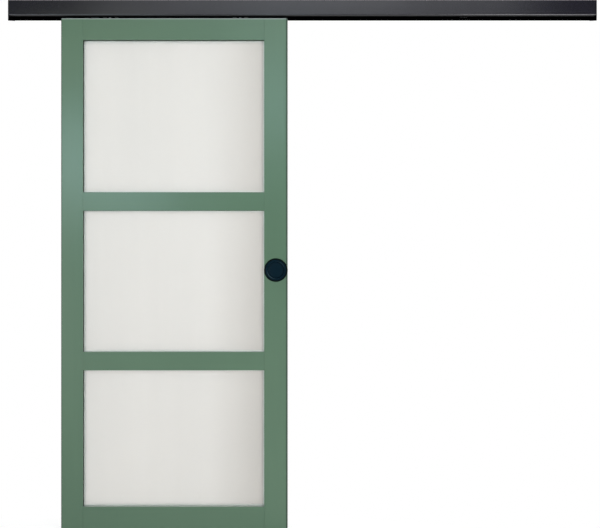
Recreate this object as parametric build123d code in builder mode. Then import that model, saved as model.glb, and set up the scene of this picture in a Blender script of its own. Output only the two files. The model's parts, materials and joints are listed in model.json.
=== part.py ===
"""Top-hung sliding door leaf with three glazed panes, with its wall rail, trolleys and floor guide.

Millimetres. The rail's wall plane is y = 0 and the front faces -Y. +X runs to the right along the
rail and +Z is up. The origin is the middle of the rail's wall-fixing hole line.
Depths are measured from the wall towards the room, so a depth d lies at y = -d.
"""

import os
from math import cos, radians

from build123d import *

os.makedirs("parts", exist_ok=True)

# Leaf frame
leaf_width = 930.0
leaf_height = 2100.0
leaf_thickness = 40.0
left_stile_width = 90.0
right_stile_width = 96.0
top_rail_height = 90.0
transom_height = 76.0
bottom_rail_height = 93.0
upper_sight_height = 625.0
middle_sight_height = 580.0
outer_round = 3.0
sight_round = 1.0

# Glazing
front_lip = 16.0
rebate = 9.0
glass_thickness = 6.0
glass_cover = 7.5
glass_arris = 0.5
seal_thickness = 1.5
seal_setback = 2.0
bead_round = 3.0
block_length = 60.0

# Dowelled joints
dowel_radius = 6.0
dowel_depth = 50.0
dowel_edge = 14.0
dowel_fit = 0.05
dowel_end_gap = 1.0

# Where the leaf hangs
leaf_wall_gap = 15.0
leaf_gap = 7.0
floor_gap = 8.0
rail_left_overhang = 209.0
rail_right_overhang = 401.0
guide_inset = 35.0

# Track extrusion
plate_wall = 3.0
channel_wall = 3.0
channel_inner_width = 32.0
slot_width = 12.0
roof_drop = 11.0
wheel_headroom = 3.7
flange_reach = 6.0
flange_wall = 2.0
flange_height = 14.0
port_radius = 3.6
port_bore = 1.6
port_slot = 1.4
port_bite = 0.4
front_port_rise = 13.0
fixing_count = 6
fixing_end_inset = 100.0
fixing_hole_radius = 3.25

# Pelmet and end caps
pelmet_rise = 13.0
pelmet_wall = 2.0
pelmet_air = 4.0
pelmet_round = 4.0
pelmet_lip = 10.0
hook_wall = 1.5
hook_grip = 1.5
cap_thickness = 4.0
cap_arris = 0.8
cap_skirt = 22.0
cap_screw_radius = 1.55
cap_screw_head = 3.2
cap_screw_length = 16.0

# Trolleys
hanger_clearance = 8.0
wheel_radius = 15.0
wheel_width = 6.0
wheel_rim = 3.0
wheel_recess = 1.2
hub_radius = 6.0
wheel_arris = 0.8
wheel_side_gap = 0.6
hub_step = 0.3
running_gap = 0.3
axle_radius = 3.0
axle_fit = 0.05
axle_pitch = 48.0
axle_head = 4.6
axle_head_thickness = 1.2
trolley_length = 74.0
trolley_width = 14.0
trolley_floor_gap = 2.5
trolley_rise = 10.5
trolley_round = 5.0
trolley_pocket = 2.0
boss_radius = 9.0

# Hangers on top of the leaf
bolt_radius = 4.0
bolt_fit = 0.05
bolt_head_flats = 13.0
bolt_head_height = 5.3
bolt_thread_in_trolley = 18.0
nut_height = 4.0
plate_length = 100.0
plate_width = 28.0
plate_thickness = 4.0
plate_corner = 4.0
keyhole_play = 0.3
mortise_play = 1.5
plate_screw_radius = 2.2
plate_screw_head = 4.2
plate_screw_length = 35.0
plate_screw_inset = 8.0

# Stops inside the track
stop_length = 30.0
stop_height = 26.0
stop_play = 0.3
stop_arris = 1.0
stop_screw_radius = 3.0
stop_screw_socket = 1.5
buffer_radius = 6.0
buffer_length = 12.0
buffer_stem_radius = 2.5
buffer_stem_length = 7.0

# Floor guide and its groove
groove_width = 14.0
groove_depth = 20.0
guide_channel_wall = 1.5
guide_channel_end = 1.0
fin_side_gap = 0.5
fin_length = 26.0
fin_engagement = 14.0
fin_round = 1.5
guide_base_length = 62.0
guide_base_width = 32.0
guide_base_thickness = 4.0
guide_base_corner = 5.0
guide_hole_radius = 2.25
guide_hole_head = 4.3
guide_hole_pitch = 44.0

# Round pulls
pull_below_top = 1035.0
pull_radius = 48.5
pull_mouth_radius = 35.0
pull_wall = 1.2
pull_depth = 11.0
pull_dish = 1.5
pull_proud = 2.4
pull_edge = 1.0
pull_sweep = 7.0
pull_fit = 0.3

# Places worked out from the sizes above: depths from the wall
leaf_back = leaf_wall_gap
leaf_front = leaf_back + leaf_thickness
centre_depth = leaf_back + leaf_thickness / 2
lip_back = leaf_front - front_lip
glass_front = lip_back - seal_thickness
glass_back = glass_front - glass_thickness
bead_front = glass_back - seal_thickness
dowel_plane = (leaf_back + lip_back) / 2
channel_back = centre_depth - channel_inner_width / 2 - channel_wall
channel_front = centre_depth + channel_inner_width / 2 + channel_wall
flange_back = channel_front + flange_reach
flange_front = flange_back + flange_wall
pelmet_inside = flange_front + pelmet_air
pelmet_front = pelmet_inside + pelmet_wall

# Heights
roof_high = -roof_drop
roof_low = roof_high - channel_wall
channel_inner_height = 2 * wheel_radius + running_gap + wheel_headroom
ledge_high = roof_low - channel_inner_height
rail_bottom = ledge_high - channel_wall
axle_height = ledge_high + running_gap + wheel_radius
leaf_top = rail_bottom - leaf_gap
leaf_bottom = leaf_top - leaf_height
floor = leaf_bottom - floor_gap
groove_top = leaf_bottom + groove_depth
pull_height = leaf_top - pull_below_top
flange_middle = (roof_high + roof_low) / 2
flange_high = flange_middle + flange_height / 2
flange_low = flange_middle - flange_height / 2

# Places along the rail
slide_travel = leaf_width - 2 * guide_inset
rail_length = rail_left_overhang + leaf_width + slide_travel + rail_right_overhang
leaf_left = -rail_length / 2 + rail_left_overhang
leaf_right = leaf_left + leaf_width
leaf_middle = (leaf_left + leaf_right) / 2
sight_width = leaf_width - left_stile_width - right_stile_width
sight_middle = leaf_left + left_stile_width + sight_width / 2
guide_middle = leaf_right - guide_inset
pull_middle = leaf_right - right_stile_width / 2
dowel_end = right_stile_width - rebate + dowel_depth + dowel_end_gap
hanger_inset = dowel_end + hanger_clearance + plate_length / 2
hanger_places = {"left": leaf_left + hanger_inset, "right": leaf_right - hanger_inset}

# Heights of the leaf's cross members and of the panes between them
top_rail_low = leaf_top - top_rail_height
upper_transom_high = top_rail_low - upper_sight_height
upper_transom_low = upper_transom_high - transom_height
lower_transom_high = upper_transom_low - middle_sight_height
lower_transom_low = lower_transom_high - transom_height
bottom_rail_high = leaf_bottom + bottom_rail_height
cross_members = {
    "top_rail": (top_rail_low, leaf_top),
    "upper_transom": (upper_transom_low, upper_transom_high),
    "lower_transom": (lower_transom_low, lower_transom_high),
    "bottom_rail": (leaf_bottom, bottom_rail_high),
}
panes = {
    "upper": (upper_transom_high, top_rail_low),
    "middle": (lower_transom_high, upper_transom_low),
    "lower": (bottom_rail_high, lower_transom_low),
}


def save(piece, name):
    """Label a finished piece and write it under its own name."""
    piece.part.label = name
    export_step(piece.part, f"parts/{name}.step")


def bar(depth_from, depth_to, low, high):
    """A rectangle of a section along the rail, by its depths from the wall and its heights."""
    with Locations((-(depth_from + depth_to) / 2, (low + high) / 2)):
        Rectangle(abs(depth_to - depth_from), high - low)


def slab(x_from, x_to, depth_from, depth_to):
    """A rectangle of a plan, by its ends along the rail and its depths from the wall."""
    with Locations(((x_from + x_to) / 2, -(depth_from + depth_to) / 2)):
        Rectangle(abs(x_to - x_from), abs(depth_to - depth_from))


def back_span(low, high):
    """The heights of a cross member behind the panes, where its rebates cut it back."""
    back_low = low if low == leaf_bottom else low + rebate
    back_high = high if high == leaf_top else high - rebate
    return back_low, back_high


def dowel_places(low, high):
    """The two dowel centres of a joint, as plane coordinates: minus the depth, and the height."""
    back_low, back_high = back_span(low, high)
    lower = max(back_low, groove_top) + dowel_edge
    return [(-dowel_plane, lower), (-dowel_plane, back_high - dowel_edge)]


def turned_plane(x, depth, height, into):
    """A plane for turned profiles: x is the radius, and y runs into the leaf's front (1) or back (-1)."""
    return Plane(origin=(x, -depth, height), x_dir=(into, 0, 0), z_dir=(0, 0, 1))


def countersunk_screw(shank_radius, head_radius, length):
    """A countersunk screw with its head's face at the origin and its point along -Z."""
    head_depth = head_radius - shank_radius
    point = shank_radius
    with BuildPart() as screw:
        with BuildSketch(Plane.XZ):
            with BuildLine():
                Polyline(
                    (0, 0),
                    (head_radius, 0),
                    (shank_radius, -head_depth),
                    (shank_radius, point - length),
                    (0, -length),
                    close=True,
                )
            make_face()
        revolve(axis=Axis.Z)
    return screw.part


# Track: one extrusion with its back plate, roof, open channel, pelmet flange and screw ports


port_reach = port_radius - port_bite
rear_port = (plate_wall, roof_low - port_reach)
front_port = (channel_front, rail_bottom + front_port_rise)


def screw_port(face_depth, height):
    """An open screw port on the face at the given depth, to be added to the track's section."""
    middle = face_depth + port_reach
    with Locations((-middle, height)):
        Circle(port_radius)
        Rectangle(port_radius, 2 * port_bore, align=(Align.MIN, Align.CENTER))
        Circle(port_bore, mode=Mode.SUBTRACT)
        Rectangle(port_radius + port_bite, port_slot, align=(Align.MAX, Align.CENTER), mode=Mode.SUBTRACT)


with BuildPart() as track:
    with BuildSketch(Plane.YZ.offset(-rail_length / 2)):
        bar(0, plate_wall, rail_bottom, pelmet_rise - pelmet_wall)
        bar(plate_wall, flange_back, roof_low, roof_high)
        bar(channel_back, channel_back + channel_wall, rail_bottom, roof_low)
        bar(channel_front - channel_wall, channel_front, rail_bottom, roof_low)
        bar(channel_back, centre_depth - slot_width / 2, rail_bottom, ledge_high)
        bar(centre_depth + slot_width / 2, channel_front, rail_bottom, ledge_high)
        bar(flange_back, flange_front, flange_low, flange_high)
        bar(plate_wall, plate_wall + port_reach, roof_low - port_reach, roof_low)
        screw_port(*rear_port)
        screw_port(*front_port)
    extrude(amount=rail_length)
    with BuildSketch(Plane.XZ):
        with GridLocations((rail_length - 2 * fixing_end_inset) / (fixing_count - 1), 1, fixing_count, 1):
            Circle(fixing_hole_radius)
    extrude(amount=plate_wall, mode=Mode.SUBTRACT)
save(track, "track")

# Pelmet: a folded-looking cover extrusion that snaps over the track's flange and rests on its back plate

with BuildPart() as pelmet:
    with BuildSketch(Plane.YZ.offset(-rail_length / 2)) as pelmet_section:
        bar(pelmet_inside, pelmet_front, rail_bottom, pelmet_rise)
        bar(0, pelmet_front, pelmet_rise - pelmet_wall, pelmet_rise)
        bar(pelmet_front - pelmet_lip, pelmet_front, rail_bottom, rail_bottom + pelmet_wall)
        fillet(pelmet_section.vertices().group_by(Axis.X)[1], pelmet_round - pelmet_wall)
        fillet(pelmet_section.vertices().group_by(Axis.X)[0], pelmet_round)
        bar(flange_back - hook_wall, pelmet_inside, flange_high, flange_high + hook_wall)
        bar(flange_back - hook_wall, flange_back, flange_high - hook_grip, flange_high)
        bar(flange_back - hook_wall, pelmet_inside, flange_low - hook_wall, flange_low)
        bar(flange_back - hook_wall, flange_back, flange_low, flange_low + hook_grip)
    extrude(amount=rail_length)
save(pelmet, "pelmet")

# End caps, each held by two screws in the track's ports

port_centres = [(-(depth + port_reach), height) for depth, height in (rear_port, front_port)]


def end_cap(outward):
    """An end cap on the right (1) or left (-1) end, with a skirt below the rail."""
    face = Plane.YZ.offset(outward * rail_length / 2)
    with BuildPart() as cap:
        with BuildSketch(face) as outline:
            bar(0, pelmet_front, rail_bottom - cap_skirt, pelmet_rise)
            fillet(outline.vertices().group_by(Axis.X)[0], pelmet_round)
        extrude(amount=outward * cap_thickness)
        outer_face = cap.faces().sort_by(Axis.X)[-1 if outward > 0 else 0]
        chamfer(outer_face.edges(), cap_arris)
        head_depth = cap_screw_head - cap_screw_radius
        with BuildSketch(face.offset(outward * cap_thickness)):
            with Locations(*port_centres):
                Circle(cap_screw_head)
        extrude(amount=-outward * head_depth, taper=45, mode=Mode.SUBTRACT)
        with BuildSketch(face):
            with Locations(*port_centres):
                Circle(cap_screw_radius)
        extrude(amount=outward * cap_thickness, mode=Mode.SUBTRACT)
    return cap


for side, outward in (("left", -1), ("right", 1)):
    save(end_cap(outward), f"end_cap_{side}")

cap_screw = countersunk_screw(cap_screw_radius, cap_screw_head, cap_screw_length)
with BuildPart() as end_cap_screws:
    for outward in (-1, 1):
        cap_face = outward * (rail_length / 2 + cap_thickness)
        with Locations(*[Location((cap_face, y, z), (0, 90 * outward, 0)) for y, z in port_centres]):
            add(cap_screw)
save(end_cap_screws, "end_cap_screws")

# Stops: a block on the track's ledges, a rubber buffer towards the trolley, and a clamp screw


def stop(trolley_end, away):
    """The block and buffer of a stop beside a trolley's end, on its right (1) or left (-1)."""
    buffer_tip = trolley_end + away * running_gap
    block_face = buffer_tip + away * buffer_length
    block_plane = Plane.YZ.offset(block_face)
    buffer_plane = Plane(origin=(block_face, -centre_depth, axle_height), x_dir=(0, 0, 1), z_dir=(0, 1, 0))
    with BuildPart() as block:
        with BuildSketch(block_plane) as section:
            half = channel_inner_width / 2 - stop_play
            bar(centre_depth - half, centre_depth + half, ledge_high, ledge_high + stop_height)
            chamfer(section.vertices(), stop_arris)
        extrude(amount=away * stop_length)
        with BuildSketch(Plane.XY.offset(ledge_high)):
            with Locations((block_face + away * stop_length / 2, -centre_depth)):
                Circle(stop_screw_radius + bolt_fit)
        extrude(amount=stop_height, mode=Mode.SUBTRACT)
        with BuildSketch(block_plane):
            with Locations((-centre_depth, axle_height)):
                Circle(buffer_stem_radius)
        extrude(amount=away * buffer_stem_length, mode=Mode.SUBTRACT)
    with BuildPart() as rubber:
        with BuildSketch(buffer_plane):
            with BuildLine():
                Polyline(
                    (0, -away * buffer_length),
                    (buffer_radius - stop_arris, -away * buffer_length),
                    (buffer_radius, -away * (buffer_length - stop_arris)),
                    (buffer_radius, 0),
                    (buffer_stem_radius, 0),
                    (buffer_stem_radius, away * buffer_stem_length),
                    (0, away * buffer_stem_length),
                    close=True,
                )
            make_face()
        revolve(axis=Axis((block_face, -centre_depth, axle_height), (1, 0, 0)))
    return block, rubber, block_face + away * stop_length / 2


left_trolley_end = hanger_places["left"] - trolley_length / 2
right_trolley_end = hanger_places["right"] + slide_travel + trolley_length / 2
stop_screw_places = []
for side, trolley_end, away in (("left", left_trolley_end, -1), ("right", right_trolley_end, 1)):
    stop_block, stop_buffer, screw_x = stop(trolley_end, away)
    save(stop_block, f"stop_block_{side}")
    save(stop_buffer, f"stop_buffer_{side}")
    stop_screw_places.append((screw_x, -centre_depth))

with BuildPart() as stop_screws:
    with BuildSketch(Plane.XY.offset(ledge_high)):
        with Locations(*stop_screw_places):
            Circle(stop_screw_radius)
    extrude(amount=channel_inner_height)
    with BuildSketch(Plane.XY.offset(ledge_high)):
        with Locations(*stop_screw_places):
            RegularPolygon(stop_screw_socket, 6, major_radius=False)
    extrude(amount=2 * stop_screw_socket, mode=Mode.SUBTRACT)
save(stop_screws, "stop_screws")

# Floor guide: a fin on a screwed base plate, standing in the groove under the leaf

fin_width = groove_width - 2 * guide_channel_wall - 2 * fin_side_gap
with BuildPart() as floor_guide:
    with BuildSketch(Plane.XY.offset(floor)):
        with Locations((guide_middle, -centre_depth)):
            RectangleRounded(guide_base_length, guide_base_width, guide_base_corner)
    extrude(amount=guide_base_thickness)
    with BuildSketch(Plane.XY.offset(floor)):
        with Locations((guide_middle, -centre_depth)):
            SlotOverall(fin_length, fin_width)
    extrude(amount=floor_gap + fin_engagement)
    fillet(floor_guide.faces().sort_by(Axis.Z)[-1].edges(), fin_round)
    with Locations((guide_middle, -centre_depth, floor + guide_base_thickness)):
        with GridLocations(guide_hole_pitch, 1, 2, 1):
            CounterSinkHole(guide_hole_radius, guide_hole_head, guide_base_thickness, 90)
save(floor_guide, "floor_guide")

# Stiles: full-height members, rebated for the glass behind the front lip


def stile(outer_x, inward, width):
    """A stile from its outer edge: inward is 1 for the left stile and -1 for the right."""
    shoulder_x = outer_x + inward * (width - rebate)
    with BuildPart() as piece:
        with BuildSketch(Plane.XY.offset(leaf_bottom)):
            slab(outer_x, outer_x + inward * width, lip_back, leaf_front)
            slab(outer_x, shoulder_x, leaf_back, lip_back)
        extrude(amount=leaf_height)
        outer_face = piece.faces().sort_by(Axis.X)[0 if inward > 0 else -1]
        ends = piece.faces().filter_by(Axis.Z)
        across = ends.edges().filter_by(Axis.X).group_by(Axis.Y)
        fillet(outer_face.edges() + across[0] + across[-1], outer_round)
        front_edges = piece.edges().filter_by(Axis.Z).group_by(Axis.Y)[0]
        fillet(front_edges.sort_by(Axis.X)[-1 if inward > 0 else 0], sight_round)
        with BuildSketch(Plane.YZ.offset(shoulder_x)):
            for low, high in cross_members.values():
                with Locations(*dowel_places(low, high)):
                    Circle(dowel_radius + dowel_fit)
        extrude(amount=-inward * (dowel_depth + dowel_end_gap), mode=Mode.SUBTRACT)
        with BuildSketch(Plane.YZ.offset(outer_x)):
            bar(centre_depth - groove_width / 2, centre_depth + groove_width / 2, leaf_bottom, groove_top)
        extrude(amount=inward * width, mode=Mode.SUBTRACT)
    return piece


stile_left = stile(leaf_left, 1, left_stile_width)
save(stile_left, "stile_left")

stile_right = stile(leaf_right, -1, right_stile_width)
recess_radius = pull_mouth_radius + pull_wall + pull_fit
recess_depth = pull_depth + pull_wall + pull_fit
with BuildPart() as stile_right_bored:
    add(stile_right.part)
    for recess_plane in (Plane.XZ.offset(leaf_front), Plane.XZ.offset(leaf_back + recess_depth)):
        with BuildSketch(recess_plane):
            with Locations((pull_middle, pull_height)):
                Circle(recess_radius)
        extrude(amount=-recess_depth, mode=Mode.SUBTRACT)
save(stile_right_bored, "stile_right")

# Rails and transoms: the front part fits between the stiles, the back part fills their rebates


def cross_member(low, high):
    """A horizontal member of the leaf, with rebates along the edges that face a pane."""
    back_low, back_high = back_span(low, high)
    with BuildPart() as piece:
        with BuildSketch(Plane.YZ.offset(sight_middle)):
            bar(lip_back, leaf_front, low, high)
        extrude(amount=sight_width / 2, both=True)
        with BuildSketch(Plane.YZ.offset(sight_middle)):
            bar(leaf_back, lip_back, back_low, back_high)
        extrude(amount=sight_width / 2 + rebate, both=True)
        long_edges = piece.edges().filter_by(Axis.X).filter_by(lambda edge: edge.length > sight_width / 2)
        front_edges = long_edges.group_by(Axis.Y)[0].sort_by(Axis.Z)
        back_edges = long_edges.group_by(Axis.Y)[-1].sort_by(Axis.Z)
        if high == leaf_top:
            fillet([front_edges[-1], back_edges[-1]], outer_round)
            fillet(front_edges[0], sight_round)
        elif low == leaf_bottom:
            fillet([front_edges[0], back_edges[0]], outer_round)
            fillet(front_edges[-1], sight_round)
        else:
            fillet(front_edges, sight_round)
        for end in (-1, 1):
            with BuildSketch(Plane.YZ.offset(sight_middle + end * (sight_width / 2 + rebate))):
                with Locations(*dowel_places(low, high)):
                    Circle(dowel_radius + dowel_fit)
            extrude(amount=-end * (dowel_depth + dowel_end_gap), mode=Mode.SUBTRACT)
    return piece


for name in ("upper_transom", "lower_transom"):
    save(cross_member(*cross_members[name]), name)

bottom_rail = cross_member(*cross_members["bottom_rail"])
with BuildPart() as bottom_rail_grooved:
    add(bottom_rail.part)
    with BuildSketch(Plane.YZ.offset(sight_middle)):
        bar(centre_depth - groove_width / 2, centre_depth + groove_width / 2, leaf_bottom, groove_top)
    extrude(amount=sight_width / 2 + rebate, both=True, mode=Mode.SUBTRACT)
save(bottom_rail_grooved, "bottom_rail")

# Hangers: a keyhole plate let into the top rail, with a bolt up to the trolley and a lock nut

bolt_head_corner = bolt_head_flats / 2 / cos(radians(30))
keyhole_radius = bolt_head_corner + keyhole_play
keyhole_slot = bolt_radius + keyhole_play
keyhole_offset = keyhole_radius + bolt_radius + keyhole_play
mortise_length = 2 * (keyhole_offset + keyhole_radius + mortise_play)
mortise_width = 2 * (keyhole_radius + mortise_play)
mortise_depth = bolt_head_height + mortise_play
plate_low = leaf_top - plate_thickness
screw_hole_places = [
    (end * (plate_length / 2 - plate_screw_inset), side * (plate_width / 2 - plate_screw_inset))
    for end in (-1, 1)
    for side in (-1, 1)
]

top_rail = cross_member(*cross_members["top_rail"])
with BuildPart() as top_rail_mortised:
    add(top_rail.part)
    for hanger_x in hanger_places.values():
        with BuildSketch(Plane.XY.offset(leaf_top)):
            with Locations((hanger_x, -centre_depth)):
                RectangleRounded(plate_length, plate_width, plate_corner)
        extrude(amount=-plate_thickness, mode=Mode.SUBTRACT)
        with BuildSketch(Plane.XY.offset(plate_low)):
            with Locations((hanger_x, -centre_depth)):
                RectangleRounded(mortise_length, mortise_width, plate_corner)
        extrude(amount=-mortise_depth, mode=Mode.SUBTRACT)
        with BuildSketch(Plane.XY.offset(plate_low)):
            with Locations((hanger_x, -centre_depth)):
                with Locations(*screw_hole_places):
                    Circle(plate_screw_radius)
        extrude(amount=plate_thickness - plate_screw_length, mode=Mode.SUBTRACT)
save(top_rail_mortised, "top_rail")

for side, hanger_x in hanger_places.items():
    with BuildPart() as hanger_plate:
        with BuildSketch(Plane.XY.offset(plate_low)):
            with Locations((hanger_x, -centre_depth)):
                RectangleRounded(plate_length, plate_width, plate_corner)
            with Locations((hanger_x + keyhole_offset, -centre_depth)):
                Circle(keyhole_radius, mode=Mode.SUBTRACT)
            with Locations((hanger_x + keyhole_offset / 2, -centre_depth)):
                SlotCenterToCenter(keyhole_offset, 2 * keyhole_slot, mode=Mode.SUBTRACT)
        extrude(amount=plate_thickness)
        with Locations((hanger_x, -centre_depth, leaf_top)):
            with Locations(*screw_hole_places):
                CounterSinkHole(plate_screw_radius, plate_screw_head, plate_thickness, 90)
    save(hanger_plate, f"hanger_plate_{side}")

    with BuildPart() as hanger_bolt:
        with BuildSketch(Plane.XY.offset(plate_low - bolt_head_height)):
            with Locations((hanger_x, -centre_depth)):
                RegularPolygon(bolt_head_flats / 2, 6, major_radius=False)
        extrude(amount=bolt_head_height)
        with BuildSketch(Plane.XY.offset(plate_low)):
            with Locations((hanger_x, -centre_depth)):
                Circle(bolt_radius)
        extrude(amount=ledge_high + trolley_floor_gap + bolt_thread_in_trolley - plate_low)
        chamfer(hanger_bolt.faces().sort_by(Axis.Z)[-1].edges(), bolt_radius / 4)
    save(hanger_bolt, f"hanger_bolt_{side}")

hanger_middles = [(x, -centre_depth) for x in hanger_places.values()]
with BuildPart() as hanger_nuts:
    with BuildSketch(Plane.XY.offset(leaf_top)):
        with Locations(*hanger_middles):
            RegularPolygon(bolt_head_flats / 2, 6, major_radius=False)
            Circle(bolt_radius + bolt_fit, mode=Mode.SUBTRACT)
    extrude(amount=nut_height)
save(hanger_nuts, "hanger_nuts")

plate_screw = countersunk_screw(plate_screw_radius, plate_screw_head, plate_screw_length)
with BuildPart() as hanger_plate_screws:
    for hanger_x in hanger_places.values():
        with Locations((hanger_x, -centre_depth, leaf_top)):
            with Locations(*screw_hole_places):
                add(plate_screw)
save(hanger_plate_screws, "hanger_plate_screws")

# Trolleys: a cast body with two axles, and four wheels that run on the track's ledges

trolley_low = ledge_high + trolley_floor_gap
trolley_high = axle_height + trolley_rise
wheel_inner = trolley_width / 2 + wheel_side_gap
wheel_outer = wheel_inner + wheel_width
axle_half = wheel_outer + running_gap + axle_head_thickness


def trolley_body(middle_x):
    """A trolley body with thinned flanks between its bolt boss and its axle bosses."""
    side_plane = Plane.XZ.offset(centre_depth)
    body_middle = (trolley_low + trolley_high) / 2
    body_height = trolley_high - trolley_low
    with BuildPart() as body:
        with BuildSketch(side_plane):
            with Locations((middle_x, body_middle)):
                RectangleRounded(trolley_length, body_height, trolley_round)
        extrude(amount=trolley_width / 2, both=True)
        for flank in (-1, 1):
            with BuildSketch(Plane.XZ.offset(centre_depth + flank * trolley_width / 2)):
                with Locations((middle_x, body_middle)):
                    Rectangle(axle_pitch, body_height - 2 * trolley_pocket)
                    Rectangle(2 * boss_radius, body_height, mode=Mode.SUBTRACT)
                with Locations((middle_x - axle_pitch / 2, axle_height), (middle_x + axle_pitch / 2, axle_height)):
                    Circle(hub_radius + trolley_pocket, mode=Mode.SUBTRACT)
            extrude(amount=-flank * trolley_pocket, mode=Mode.SUBTRACT)
        with BuildSketch(side_plane):
            with Locations((middle_x, axle_height)):
                with GridLocations(axle_pitch, 1, 2, 1):
                    Circle(axle_radius)
        extrude(amount=trolley_width / 2, both=True, mode=Mode.SUBTRACT)
        with BuildSketch(Plane.XY.offset(trolley_low)):
            with Locations((middle_x, -centre_depth)):
                Circle(bolt_radius + bolt_fit)
        extrude(amount=body_height, mode=Mode.SUBTRACT)
    return body


def axle_pair(middle_x):
    """The two headed axles of a trolley."""
    with BuildPart() as axles:
        with BuildSketch(Plane.XZ.offset(centre_depth)):
            with Locations((middle_x, axle_height)):
                with GridLocations(axle_pitch, 1, 2, 1):
                    Circle(axle_radius)
        extrude(amount=axle_half, both=True)
        for flank in (-1, 1):
            with BuildSketch(Plane.XZ.offset(centre_depth + flank * axle_half)):
                with Locations((middle_x, axle_height)):
                    with GridLocations(axle_pitch, 1, 2, 1):
                        Circle(axle_head)
            extrude(amount=-flank * axle_head_thickness)
    return axles


def wheel(middle_x, outward):
    """A wheel on the front (1) or back (-1) of a trolley, turned about its axle."""
    inner_depth = centre_depth + outward * wheel_inner
    wheel_axis = Axis((middle_x, -inner_depth, axle_height), (0, 1, 0))
    bore = axle_radius + axle_fit
    rim_foot = wheel_radius - wheel_rim
    with BuildPart() as turned:
        with BuildSketch(turned_plane(middle_x, inner_depth, axle_height, -outward)):
            with BuildLine():
                Polyline(
                    (bore, -hub_step),
                    (hub_radius, -hub_step),
                    (hub_radius, wheel_recess),
                    (rim_foot, wheel_recess),
                    (rim_foot, 0),
                    (wheel_radius - wheel_arris, 0),
                    (wheel_radius, wheel_arris),
                    (wheel_radius, wheel_width - wheel_arris),
                    (wheel_radius - wheel_arris, wheel_width),
                    (rim_foot, wheel_width),
                    (rim_foot, wheel_width - wheel_recess),
                    (hub_radius, wheel_width - wheel_recess),
                    (hub_radius, wheel_width),
                    (bore, wheel_width),
                    close=True,
                )
            make_face()
        revolve(axis=wheel_axis)
    return turned


for side, hanger_x in hanger_places.items():
    save(trolley_body(hanger_x), f"trolley_body_{side}")
    save(axle_pair(hanger_x), f"trolley_axles_{side}")
    for number, axle_x in ((1, hanger_x - axle_pitch / 2), (2, hanger_x + axle_pitch / 2)):
        for face, outward in (("front", 1), ("back", -1)):
            save(wheel(axle_x, outward), f"wheel_{side}_{number}_{face}")

# Dowels that join the stiles to the rails and transoms

with BuildPart() as frame_dowels:
    for joint_x in (leaf_left + left_stile_width - rebate, leaf_right - right_stile_width + rebate):
        with BuildSketch(Plane.YZ.offset(joint_x)):
            for low, high in cross_members.values():
                with Locations(*dowel_places(low, high)):
                    Circle(dowel_radius)
        extrude(amount=dowel_depth, both=True)
save(frame_dowels, "frame_dowels")

# Aluminium channel in the groove along the leaf's foot

with BuildPart() as guide_channel:
    with BuildSketch(Plane.YZ.offset(leaf_middle)):
        half = groove_width / 2
        bar(centre_depth - half, centre_depth + half, groove_top - guide_channel_wall, groove_top)
        bar(centre_depth - half, centre_depth - half + guide_channel_wall, leaf_bottom, groove_top)
        bar(centre_depth + half - guide_channel_wall, centre_depth + half, leaf_bottom, groove_top)
    extrude(amount=leaf_width / 2 - guide_channel_end, both=True)
save(guide_channel, "guide_channel")

# Panes, their seals and blocks

for name, (low, high) in panes.items():
    pane_middle = (sight_middle, (low + high) / 2)
    glass_size = (sight_width + 2 * glass_cover, high - low + 2 * glass_cover)
    with BuildPart() as glass:
        with BuildSketch(Plane.XZ.offset(glass_back)):
            with Locations(pane_middle):
                Rectangle(*glass_size)
        extrude(amount=glass_thickness)
        chamfer(glass.faces().filter_by(Axis.Y).edges(), glass_arris)
    save(glass, f"glass_{name}")

    with BuildPart() as seals:
        for seal_back in (bead_front, glass_front):
            with BuildSketch(Plane.XZ.offset(seal_back)):
                with Locations(pane_middle):
                    Rectangle(*glass_size)
                    Rectangle(
                        sight_width + 2 * seal_setback,
                        high - low + 2 * seal_setback,
                        mode=Mode.SUBTRACT,
                    )
            extrude(amount=seal_thickness)
    save(seals, f"glazing_seals_{name}")

edge_gap = rebate - glass_cover
with BuildPart() as glass_blocks:
    with BuildSketch(Plane.XZ.offset(glass_back)):
        for low, high in panes.values():
            with Locations((sight_middle, low - rebate)):
                with GridLocations(sight_width / 2, 1, 2, 1):
                    Rectangle(block_length, edge_gap, align=(Align.CENTER, Align.MIN))
            with Locations((sight_middle, (low + high) / 2)):
                with GridLocations(sight_width + 2 * rebate - edge_gap, 1, 2, 1):
                    Rectangle(edge_gap, block_length)
    extrude(amount=glass_thickness)
save(glass_blocks, "glass_blocks")

# Glazing beads: four mitred strips behind each pane


def bead_corners(low, high, spread):
    """The four corners of a pane's sight opening, spread outwards, starting at the lower left."""
    left, right = sight_middle - sight_width / 2 - spread, sight_middle + sight_width / 2 + spread
    bottom, top = low - spread, high + spread
    return [(left, bottom), (right, bottom), (right, top), (left, top)]


for name, (low, high) in panes.items():
    inner = bead_corners(low, high, 0)
    outer = bead_corners(low, high, rebate)
    for first, side in enumerate(("bottom", "right", "top", "left")):
        second = (first + 1) % 4
        with BuildPart() as bead:
            with BuildSketch(Plane.XZ.offset(leaf_back)):
                with BuildLine():
                    Polyline(outer[first], outer[second], inner[second], inner[first], close=True)
                make_face()
            extrude(amount=bead_front - leaf_back)
            back_face = bead.faces().sort_by(Axis.Y)[-1]
            sight_edge = back_face.edges().sort_by(
                lambda edge: (edge.center() - Vector(sight_middle, -leaf_back, (low + high) / 2)).length
            )
            fillet(sight_edge.filter_by(Axis.X if side in ("bottom", "top") else Axis.Z)[0], bead_round)
        save(bead, f"bead_{name}_{side}")

# Round pulls: a dished cup in the right stile, one on each face


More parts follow.
